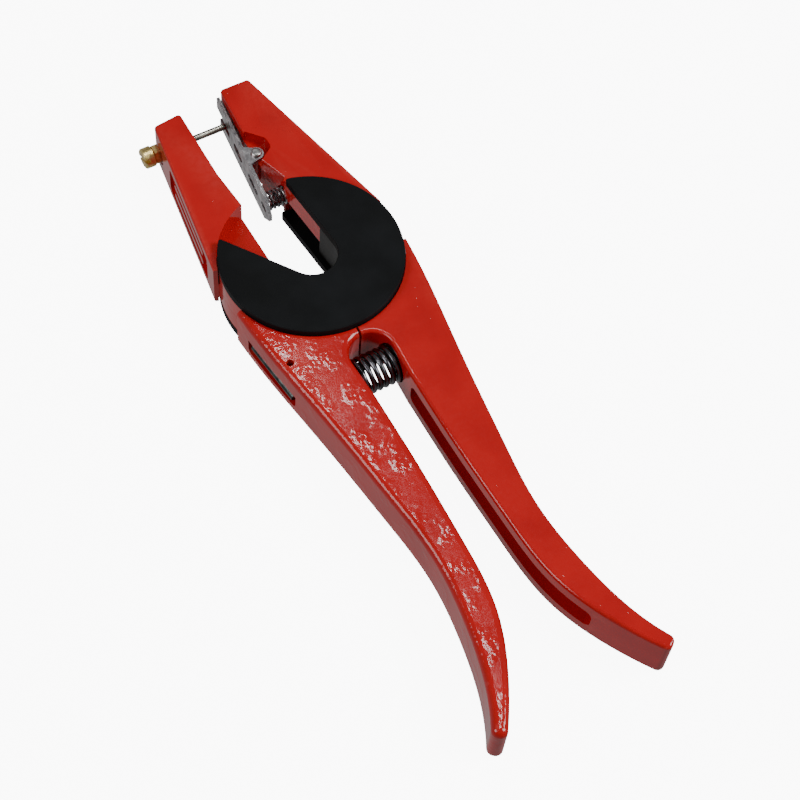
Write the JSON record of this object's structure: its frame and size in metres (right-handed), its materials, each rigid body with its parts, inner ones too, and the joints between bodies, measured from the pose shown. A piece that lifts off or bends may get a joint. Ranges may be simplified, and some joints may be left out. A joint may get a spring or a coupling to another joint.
{
  "type": "ear tag applicator pliers",
  "caption": "Hand pliers with red cast levers, black side plates around an open throat, a brass-mounted needle, a sprung tag clip and a coil spring between the handles.",
  "frame": {"origin": "middle of the tool's footprint on the plane of the rear side plate, between jaws and handle ends", "axes": "+Y from the handles to the jaws, +Z through the thickness towards the front side plate, +X towards the clip jaw"},
  "size_m": [0.0634, 0.2491, 0.0222],
  "materials": {
    "red_enamel": "gloss red enamel with slight orange peel on die-cast aluminium",
    "black_coating": "matte black coating on steel plate",
    "bush_steel": "blackened and oiled",
    "black_screws": "blackened",
    "spring_chrome": "bright plated spring wire",
    "needle_steel": "polished",
    "brass": "turned and milled brass",
    "clip_steel": "tumbled stainless sheet",
    "rivet_steel": "plain steel",
    "spare_steel": "dark tempered steel"
  },
  "bodies": {
    "clip_jaw_side": {"clip_jaw_lever": "red_enamel", "front_side_plate": "black_coating", "rear_side_plate": "black_coating", "pivot_bush": "bush_steel", "plate_screws": "black_screws", "main_spring": "spring_chrome", "clip_rivet": "rivet_steel", "clip_spring": "spring_chrome", "spare_needle": "spare_steel"},
    "needle_jaw_side": {"needle_jaw_lever": "red_enamel", "needle": "needle_steel", "needle_screw": "brass", "needle_locknut": "brass"},
    "tag_clip": {"clip_plate": "clip_steel"}
  },
  "joints": [
    {"name": "main_pivot", "type": "hinge", "parent": "clip_jaw_side", "child": "needle_jaw_side", "pos_m": [0, 0.0483, 0.0105], "axis": [0, 0, 1], "range_deg": [0, 29], "stiffness_Nm_per_rad": 1.2, "springref_deg": 51.57, "deforming": ["main_spring"]},
    {"name": "clip_pivot", "type": "hinge", "parent": "clip_jaw_side", "child": "tag_clip", "pos_m": [0.0042, 0.0963, 0.0105], "axis": [0, 0, 1], "range_deg": [0, 8], "stiffness_Nm_per_rad": 0.2, "springref_deg": -11.46, "deforming": ["clip_spring"]}
  ]
}
